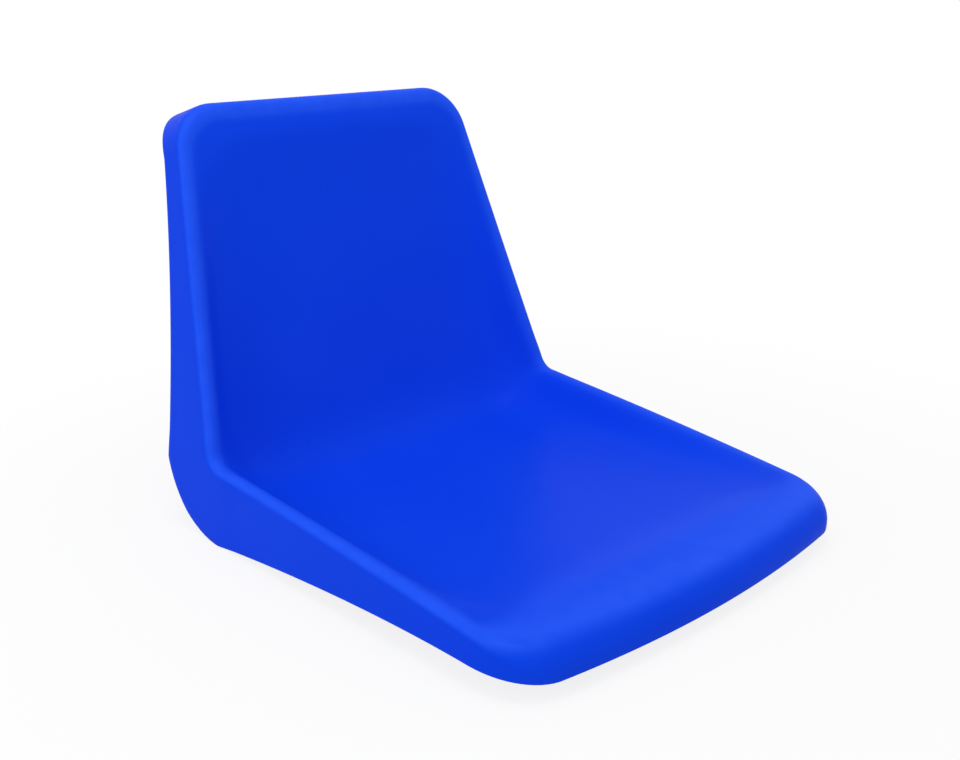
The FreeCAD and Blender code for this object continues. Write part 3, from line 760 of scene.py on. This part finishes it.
def marks_tree():
    """Casts a grid of places onto the moulding's rear face and sets a mark on it at each."""
    inputs = [
        ("Size across", "NodeSocketFloat"), ("Size along", "NodeSocketFloat"),
        ("Count across", "NodeSocketInt"), ("Count along", "NodeSocketInt"),
        ("Middle", "NodeSocketVector"), ("Turn", "NodeSocketVector"), ("Heading", "NodeSocketVector"),
        ("Shell", "NodeSocketObject"), ("Mark", "NodeSocketObject"), ("Material", "NodeSocketMaterial"),
    ]
    bench, given = new_tree("cast_marks", inputs)
    places = bench.node("GeometryNodeMeshGrid", {}, {
        "Size X": given.also("Size across"), "Size Y": given.also("Size along"),
        "Vertices X": given.also("Count across"), "Vertices Y": given.also("Count along")})
    placed = bench.node("GeometryNodeTransform", {}, {
        "Geometry": places, "Translation": given.also("Middle"), "Rotation": given.also("Turn")})
    here, heading = bench.node("GeometryNodeInputPosition"), given.also("Heading")
    away = bench.node("ShaderNodeVectorMath", {"operation": "MULTIPLY_ADD"}, {
        0: heading, 1: (-RUN_UP, -RUN_UP, -RUN_UP), 2: here}, "Vector")
    hit = ray(bench, model_of(bench, given.also("Shell")), away, heading)
    normal = hit.also("Hit Normal")
    standing = bench.node("FunctionNodeAlignRotationToVector", {"axis": "Z"}, {"Vector": normal})
    cast = bench.node("GeometryNodeSetPosition", {}, {"Geometry": placed, "Position": hit})
    marks = bench.node("GeometryNodeInstanceOnPoints", {}, {
        "Points": cast, "Instance": model_of(bench, given.also("Mark")), "Rotation": standing})
    finish_tree(bench, marks, given.also("Material"))
    return bench.tree


def linked(name, mesh):
    piece = bpy.data.objects.new(name, mesh)
    bpy.context.scene.collection.objects.link(piece)
    return piece


def shaped_by(tree, mesh, values):
    """The mesh that a tree makes of another mesh, with these values given to its inputs by name."""
    blank = linked("blank", mesh)
    modifier = blank.modifiers.new("shape", "NODES")
    modifier.node_group = tree
    for item in tree.interface.items_tree:
        if item.in_out == "INPUT" and item.name in values:
            modifier[item.identifier] = values[item.name]
    bpy.context.view_layer.update()
    worked_out = blank.evaluated_get(bpy.context.evaluated_depsgraph_get())
    result = bpy.data.meshes.new_from_object(worked_out)
    blank.modifiers.clear()
    bpy.data.objects.remove(blank)
    return result


def settled(piece, *modifiers):
    """Applies modifiers, each given as its kind and settings, to a piece's mesh."""
    for kind, settings in modifiers:
        modifier = piece.modifiers.new(kind.title(), kind)
        for name, value in settings.items():
            setattr(modifier, name, value)
    bpy.context.view_layer.update()
    mesh = bpy.data.meshes.new_from_object(piece.evaluated_get(bpy.context.evaluated_depsgraph_get()))
    piece.modifiers.clear()
    piece.data = mesh


# Materials

def new_material(name):
    material = bpy.data.materials.new(name)
    material.use_nodes = True
    material.node_tree.nodes.clear()
    return material, Bench(material.node_tree)


def noise(bench, place, scale, detail):
    return bench.node("ShaderNodeTexNoise", {}, {"Vector": place, "Scale": scale, "Detail": detail})


def put_out(bench, shader):
    bench.node("ShaderNodeOutputMaterial", {}, {"Surface": shader})


def moulded_plastic(finish):
    """Satin plastic with a fine mould grain, slight clouds in its colour, and a lighter colour painted along
    the rolled edge as a highlight.
    """
    material, bench = new_material("moulded_plastic")
    place = bench.node("ShaderNodeTexCoord", output="Object")
    clouds = noise(bench, place, scale=7.0, detail=3.0)
    flow = noise(bench, place, scale=55.0, detail=3.0)
    grain = noise(bench, place, scale=1500.0, detail=1.0)
    # A painted highlight: the "edge" attribute lightens the colour along the rolled edge, and lowers the
    # roughness there.
    rubbed = bench.node("ShaderNodeAttribute", {"attribute_name": "edge"}, output="Fac")
    rubbed = held(rubbed * (0.55 + 0.6 * flow))
    tone = held(finish.cloud_share * (clouds - 0.35) + finish.rubbed_share * rubbed)
    base = bench.blend(tone, finish.plastic, finish.plastic_painted_highlight)
    roughness = finish.plastic_roughness + 0.10 * (clouds - 0.5) + 0.05 * (flow - 0.5) - 0.06 * rubbed
    bump = bench.node("ShaderNodeBump", {}, {
        "Strength": 0.35, "Distance": finish.grain_depth, "Height": grain + 2.0 * flow}, "Normal")
    shader = bench.node("ShaderNodeBsdfPrincipled", {}, {
        "Base Color": base, "Roughness": roughness, "Normal": bump,
        "Specular IOR Level": finish.plastic_gloss})
    put_out(bench, shader)
    return material


def turned_brass(finish):
    """Brass with fine turning marks and a little tarnish."""
    material, bench = new_material("turned_brass")
    place = bench.node("ShaderNodeTexCoord", output="Object")
    tarnish = noise(bench, place, scale=220.0, detail=4.0)
    turning = bench.node("ShaderNodeTexWave", {"wave_type": "BANDS", "bands_direction": "Z"}, {
        "Vector": place, "Scale": 1800.0, "Distortion": 1.2, "Detail": 1.0}, "Fac")
    base = bench.blend(held(1.6 * (tarnish - 0.38)), finish.brass, finish.brass_dull)
    bump = bench.node("ShaderNodeBump", {}, {
        "Strength": 0.3, "Distance": finish.turning_depth, "Height": turning}, "Normal")
    shader = bench.node("ShaderNodeBsdfPrincipled", {}, {
        "Base Color": base, "Metallic": 1.0, "Roughness": 0.24 + 0.3 * tarnish, "Normal": bump})
    put_out(bench, shader)
    return material


def seen_directly(bench):
    """1 for what the camera sees, also in gloss and through glass, and 0 for what lights the object."""
    path = bench.node("ShaderNodeLightPath", output="Is Camera Ray")
    return held(path + path.also("Is Glossy Ray") + path.also("Is Transmission Ray"))


def pale_floor(finish):
    """A pale floor that keeps the object's shadow and fades to white around it."""
    material, bench = new_material("pale_floor")
    place = bench.node("ShaderNodeTexCoord", output="Object")
    away = bench.node("ShaderNodeVectorMath", {"operation": "LENGTH"}, {0: place}, "Value")
    white = bench.node("ShaderNodeEmission", {}, {"Color": opaque(WHITE), "Strength": 1.0})
    diffuse = bench.node("ShaderNodeBsdfDiffuse", {}, {"Color": opaque(finish.floor)})
    share = seen_directly(bench) * mix(FLOOR_WHITE, 1.0, ease((away - FADE_START) / FADE_LENGTH))
    put_out(bench, bench.node("ShaderNodeMixShader", {}, {0: share, 1: diffuse, 2: white}))
    return material


# Turned and standing forms

def mesh_of_rings(name, rings, feet=0, closed=False):
    """A closed form through rings of points. The first rings are feet, which follow the pan's underside."""
    form = bmesh.new()
    foot = form.verts.layers.float.new("foot")
    rows = []
    for number, ring in enumerate(rings):
        rows.append([form.verts.new(place) for place in ring])
        for vertex in rows[-1]:
            vertex[foot] = float(number < feet)
    pairs = list(zip(rows, rows[1:]))
    if closed:
        pairs.append((rows[-1], rows[0]))
    for low, high in pairs:
        count = max(len(low), len(high))
        for here in range(count):
            there = (here + 1) % count
            if len(low) == 1:
                form.faces.new((low[0], high[there], high[here]))
            elif len(high) == 1:
                form.faces.new((low[here], low[there], high[0]))
            else:
                form.faces.new((low[here], low[there], high[there], high[here]))
    bmesh.ops.remove_doubles(form, verts=form.verts, dist=MM / 1000)
    bmesh.ops.recalc_face_normals(form, faces=form.faces)
    mesh = bpy.data.meshes.new(name)
    form.to_mesh(mesh)
    form.free()
    mesh.shade_smooth()
    mesh.set_sharp_from_angle(angle=SHARP_ANGLE)
    return mesh


def round_ring(outs, height, x=0.0, y=0.0):
    """Points round an upright line at one height, at these distances out from it."""
    turns = [2 * math.pi * number / len(outs) for number in range(len(outs))]
    return [(x + out * math.cos(turn), y + out * math.sin(turn), height) for out, turn in zip(outs, turns)]


def circle(radius, height, count):
    return round_ring([radius] * (count if radius else 1), height)


def slot_outline(half_length, radius, height):
    """A long slot's outline along X, with the same number of points at every size."""
    right = [(half_length + radius * math.cos(turn), radius * math.sin(turn), height)
             for turn in steps(-math.pi / 2, math.pi / 2, RIB_END_STEPS)]
    far = [(x, radius, height) for x in steps(half_length, -half_length, RIB_STEPS)]
    return right + far + [(-x, -y, z) for x, y, z in right + far]


def arc_points(centre_out, centre_height, radius, start, end, count):
    """Places on an arc of a section: (distance out, height)."""
    turns = [start] + steps(start, end, count)
    return [(centre_out + radius * math.cos(turn), centre_height + radius * math.sin(turn)) for turn in turns]


def foot_section(half_thickness, fillet):
    """A foot's section from inside the pan's wall down its fillet: (distance out, height from the pan)."""
    inside = [(0.0, MM), (half_thickness + fillet, MM)]
    return inside + arc_points(half_thickness + fillet, -fillet, fillet, math.pi / 2, math.pi, FOOT_STEPS)


def boss_mesh(stiff, insert):
    """A boss: fillet at the pan, a rounded lower edge, the insert's seat and the bolt's clear hole."""
    radius, edge = stiff.boss_diameter / 2, stiff.boss_rounding
    foot = foot_section(radius, stiff.boss_fillet)
    lower = arc_points(radius - edge, edge, edge, 0.0, -math.pi / 2, BOSS_EDGE_STEPS)
    seat, clear = insert.diameter / 2, stiff.relief_diameter / 2
    top = insert.height + stiff.relief_depth
    bore = [(seat, 0.0), (seat, insert.height), (clear, insert.height), (clear, top), (0.0, top)]
    rings = [circle(out, height, BOSS_POINTS) for out, height in foot + lower + bore]
    return mesh_of_rings("boss", rings, len(foot))


def rib_mesh(name, spacing, stiff, pan_height, rim_height):
    """A rib through a pair of bosses, with ends that lean out towards the pan."""
    half, edge = stiff.rib_thickness / 2, stiff.rib_rounding
    low_half = spacing / 2 + stiff.rib_overhang
    lean = (pan_height - stiff.rib_setback) / (rim_height - stiff.rib_setback)
    high_half = low_half + stiff.rib_flare * lean
    foot = foot_section(half, stiff.rib_fillet)
    lower = arc_points(half - edge, stiff.rib_setback + edge, edge, 0.0, -math.pi / 2, RIB_EDGE_STEPS)
    rings = [slot_outline(high_half, out, height) for out, height in foot]
    rings += [slot_outline(low_half, out, height) for out, height in lower + [(0.0, stiff.rib_setback)]]
    return mesh_of_rings(name, rings, len(foot))


def knurled_ring(x, y, radius, height, depth):
    """A ring of an insert's outside, with every other point sunk by the knurl's depth."""
    return round_ring([radius - depth * (number % 2) for number in range(INSERT_POINTS)], height, x, y)


def threaded_ring(x, y, insert, height):
    """A ring of an insert's bore, which the thread cuts into on a helix."""
    depth = held(min(height, insert.height - height) / insert.pitch)
    outs = []
    for number in range(INSERT_POINTS):
        cut = 1 - abs(2 * ((height / insert.pitch - number / INSERT_POINTS) % 1.0) - 1)
        outs.append((insert.core + (insert.thread - insert.core) * cut * depth) / 2)
    return round_ring(outs, height, x, y)


def insert_mesh(name, insert, x, y):
    """A threaded insert: knurled bands each side of an anchor groove, and a cut thread in its bore."""
    outer, edge = insert.diameter / 2, insert.chamfer
    waist = outer - insert.groove_depth
    low = (insert.height - insert.groove_width) / 2
    high = low + insert.groove_width
    outside = (
        (outer - edge, 0.0, 0), (outer, edge, 0), (outer, 2 * edge, 1), (outer, low - 2 * edge, 1),
        (outer, low - edge, 0), (outer - edge, low, 0), (waist, low, 0), (waist, high, 0),
        (outer - edge, high, 0), (outer, high + edge, 0), (outer, high + 2 * edge, 1),
        (outer, insert.height - 2 * edge, 1), (outer, insert.height - edge, 0),
        (outer - edge, insert.height, 0), (insert.core / 2 + edge, insert.height, 0))
    rings = [knurled_ring(x, y, radius, height, insert.knurl_depth * knurled)
             for radius, height, knurled in outside]
    count = round((insert.height - 2 * edge) / insert.pitch * THREAD_RINGS)
    heights = [insert.height - edge] + steps(insert.height - edge, edge, count)
    rings += [threaded_ring(x, y, insert, height) for height in heights]
    rings.append(knurled_ring(x, y, insert.core / 2 + edge, 0.0, 0.0))
    return mesh_of_rings(name, rings, closed=True)


def round_mark(name, section):
    """A round mark in the moulding, from its section: (radius, height)."""
    rings = [circle(out, up, MARK_POINTS) for out, up in ((0.0, section[0][1]), *section)]
    return mesh_of_rings(name, rings)


def pin_mark(stiff):
    """The mark of an ejector pin: a low rim round a flat middle."""
    radius, height = stiff.mark_diameter / 2, stiff.mark_height
    return round_mark("pin_mark", (
        (radius, -height), (radius, height / 2), (radius - height, height), (radius - 3 * height, height),
        (radius - 4 * height, height / 3), (0.0, height / 3)))


def gate_mark(stiff):
    """The stub that is left where the plastic flowed in: a low cone, broken off short."""
    radius, height = stiff.gate_diameter / 2, stiff.gate_height
    shares = ((1.0, -0.2), (0.9, 0.1), (0.6, 0.3), (0.4, 0.5), (0.34, 0.95), (0.28, 1.0), (0.14, 0.9),
              (0.0, 0.95))
    return round_mark("gate_mark", [(radius * out, height * up) for out, up in shares])


# Operators

class SEAT_OT_stage(bpy.types.Operator):
    """Sets up the floor, the lamps, the even light all round and the camera"""
    bl_idname = "seat.stage"
    bl_label = "Stage"

    def execute(self, context):
        scene = context.scene
        self.floor(scene)
        self.lamps(scene.seat_studio)
        self.world(scene)
        self.camera(scene)
        scene.view_settings.view_transform = "Standard"
        return {"FINISHED"}

    def floor(self, scene):
        reach, height = 4.0, CAD_BOX[0][2]
        signs = ((-1, -1), (1, -1), (1, 1), (-1, 1))
        mesh = bpy.data.meshes.new("floor")
        mesh.from_pydata([(reach * x, reach * y, height) for x, y in signs], [], [(0, 1, 2, 3)])
        mesh.materials.append(pale_floor(scene.seat_finish))
        linked("floor", mesh)

    def lamps(self, studio):
        target = Vector((0.0, 0.05, 0.15))
        plan = (
            ("key_lamp", Vector((-0.25, -0.10, 2.40)), 0.9, studio.key_power),
            ("side_lamp", Vector((-1.9, 0.0, 1.2)), 1.2, studio.side_power),
        )
        for name, place, across, power in plan:
            lamp = bpy.data.lights.new(name, "AREA")
            lamp.shape = "DISK"
            lamp.size = across
            lamp.energy = power
            holder = linked(name, lamp)
            holder.location = place
            holder.rotation_euler = (target - place).to_track_quat("-Z", "Y").to_euler()

    def world(self, scene):
        scene.world = bpy.data.worlds.new("studio")
        scene.world.use_nodes = True
        scene.world.node_tree.nodes.clear()
        bench = Bench(scene.world.node_tree)
        strength = mix(scene.seat_studio.daylight, 1.0, seen_directly(bench))
        light = bench.node("ShaderNodeBackground", {}, {"Color": opaque(WHITE), "Strength": strength})
        bench.node("ShaderNodeOutputWorld", {}, {"Surface": light})

    def camera(self, scene):
        studio = scene.seat_studio
        azimuth, elevation = studio.azimuth, studio.elevation
        right = Vector((math.cos(azimuth), math.sin(azimuth), 0.0))
        back = math.cos(elevation) * right.cross(UP) + math.sin(elevation) * UP
        up = back.cross(right)
        lens = bpy.data.cameras.new("camera")
        lens.sensor_width = SENSOR_WIDTH
        lens.lens = studio.lens
        pixel = studio.distance * SENSOR_WIDTH / (IMAGE_WIDTH * studio.lens)
        rim = sizes(scene, "seat_rim")
        place = Vector((0.0, *hip_corner(rim, hip_sums(rim)))) + back * studio.distance
        place -= right * (studio.hip_pixel_x - IMAGE_WIDTH / 2) * pixel
        place += up * (studio.hip_pixel_y - IMAGE_HEIGHT / 2) * pixel
        holder = linked("camera", lens)
        holder.matrix_world = Matrix.Translation(place) @ Matrix((right, up, back)).transposed().to_4x4()
        scene.camera = holder


def finished(piece, slot, *nodes):
    """Makes a piece ride on the seat, in place of these nodes, which it hides. The slot is not used."""
    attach(piece, BODY)
    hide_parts(*nodes)


class SEAT_OT_shell(bpy.types.Operator):
    """Builds the moulded shell: pan, back, rolled edge and skirt in one wall"""
    bl_idname = "seat.shell"
    bl_label = "Seat shell"

    def execute(self, context):
        s = sizes(context.scene, *SHELL_GROUPS)
        values = {**vars(s), "Material": moulded_plastic(context.scene.seat_finish)}
        shell = linked("bucket_shell", shaped_by(bending_tree(), flat_moulding(s, hip_sums(s)), values))
        settled(
            shell,
            ("SOLIDIFY", {"thickness": s.wall, "offset": -1.0, "use_even_offset": True}),
            ("BEVEL", {"width": s.lip_rounding, "segments": 3, "limit_method": "ANGLE",
                       "angle_limit": LIP_ANGLE}),
        )
        finished(shell, "shell_plastic", SHELL_NODE)
        return {"FINISHED"}


class SEAT_OT_stiffening(bpy.types.Operator):
    """Builds the four bosses and the ribs under the pan"""
    bl_idname = "seat.stiffening"
    bl_label = "Bosses and ribs"

    def execute(self, context):
        scene = context.scene
        stiff, insert = sizes(scene, "seat_stiffening"), sizes(scene, "seat_insert")
        shell = bpy.data.objects["bucket_shell"]
        hit, place, _, _ = shell.ray_cast(-UP, UP)
        if not hit:
            raise RuntimeError("the pan isn't over the bolt pattern")
        rim_height = scene.seat_rim.mount_drop
        cross_rib = rib_mesh("cross_rib", stiff.spacing_x, stiff, place.z, rim_height)
        long_rib = rib_mesh("long_rib", stiff.spacing_y, stiff, place.z, rim_height)
        long_rib.transform(Matrix.Rotation(math.pi / 2, 4, "Z"))
        forms = {
            "Boss": linked("boss", boss_mesh(stiff, insert)),
            "Cross rib": linked("cross_rib", cross_rib),
            "Long rib": linked("long_rib", long_rib),
        }
        values = {"Spacing across": stiff.spacing_x, "Spacing along": stiff.spacing_y, "Shell": shell,
                  "Material": shell.data.materials[0], **forms}
        standing = shaped_by(stiffening_tree(), bpy.data.meshes.new("blank"), values)
        finished(linked("bosses_and_ribs", standing), "shell_plastic", SHELL_NODE)
        for form in forms.values():
            bpy.data.objects.remove(form)
        return {"FINISHED"}


class SEAT_OT_marks(bpy.types.Operator):
    """Builds the marks that the mould leaves on the hidden faces: the gate's stub and the pins' marks"""
    bl_idname = "seat.marks"
    bl_label = "Mould marks"

    def execute(self, context):
        stiff = sizes(context.scene, "seat_stiffening")
        shell = bpy.data.objects["bucket_shell"]
        tree = marks_tree()
        level, upright = (0.0, 0.0, 0.0), (math.pi / 2, 0.0, 0.0)
        up, forward = tuple(UP), (0.0, -1.0, 0.0)
        plan = (
            ("gate_mark", gate_mark(stiff), (1, 1), (0.0, 0.0), UNDER_PAN, level, up),
            ("pan_pin_marks", pin_mark(stiff), (2, 2), PAN_PIN_SPAN, UNDER_PAN, level, up),
            ("back_pin_marks", pin_mark(stiff), (3, 3), BACK_PIN_SPAN, BEHIND_BACK, upright, forward),
        )
        for name, mesh, counts, spans, middle, turn, heading in plan:
            form = linked("form", mesh)
            values = {
                "Count across": counts[0], "Count along": counts[1],
                "Size across": spans[0], "Size along": spans[1],
                "Middle": middle, "Turn": turn, "Heading": heading,
                "Shell": shell, "Mark": form, "Material": shell.data.materials[0]}
            marks = linked(name, shaped_by(tree, bpy.data.meshes.new("blank"), values))
            bpy.data.objects.remove(form)
            finished(marks, "shell_plastic", SHELL_NODE)
        return {"FINISHED"}


class SEAT_OT_inserts(bpy.types.Operator):
    """Builds the four threaded inserts in their bosses"""
    bl_idname = "seat.inserts"
    bl_label = "Threaded inserts"

    def execute(self, context):
        insert = sizes(context.scene, "seat_insert")
        brass = turned_brass(context.scene.seat_finish)
        for node in INSERT_NODES:
            low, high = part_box(node)
            middle = (low + high) / 2
            mesh = insert_mesh(node, insert, middle.x, middle.y)
            mesh.materials.append(brass)
            finished(linked(node.replace("threaded_insert", "insert"), mesh), "insert_brass", node)
        return {"FINISHED"}


class SEAT_PT_panel(bpy.types.Panel):
    """The seat's operators and sizes"""
    bl_idname = "SEAT_PT_panel"
    bl_label = "Stadium seat"
    bl_space_type = "VIEW_3D"
    bl_region_type = "UI"
    bl_category = "Seat"

    def draw(self, context):
        for operator in OPERATORS:
            self.layout.operator(operator.bl_idname)
        for name, group in SIZE_GROUPS.items():
            box = self.layout.box()
            box.label(text=name.replace("seat_", "").capitalize())
            for size_name in group.__annotations__:
                box.prop(getattr(context.scene, name), size_name)


OPERATORS = (SEAT_OT_stage, SEAT_OT_shell, SEAT_OT_stiffening, SEAT_OT_marks, SEAT_OT_inserts)
CLASSES = (*SIZE_GROUPS.values(), *OPERATORS, SEAT_PT_panel)


def register():
    for item in CLASSES:
        bpy.utils.register_class(item)
    for name, group in SIZE_GROUPS.items():
        setattr(bpy.types.Scene, name, bpy.props.PointerProperty(type=group))


def unregister():
    for name in SIZE_GROUPS:
        delattr(bpy.types.Scene, name)
    for item in reversed(CLASSES):
        bpy.utils.unregister_class(item)


def main():
    register()
    bpy.ops.seat.stage()
    bpy.ops.seat.shell()
    bpy.ops.seat.stiffening()
    bpy.ops.seat.marks()
    bpy.ops.seat.inserts()


if __name__ == "__main__":
    main()
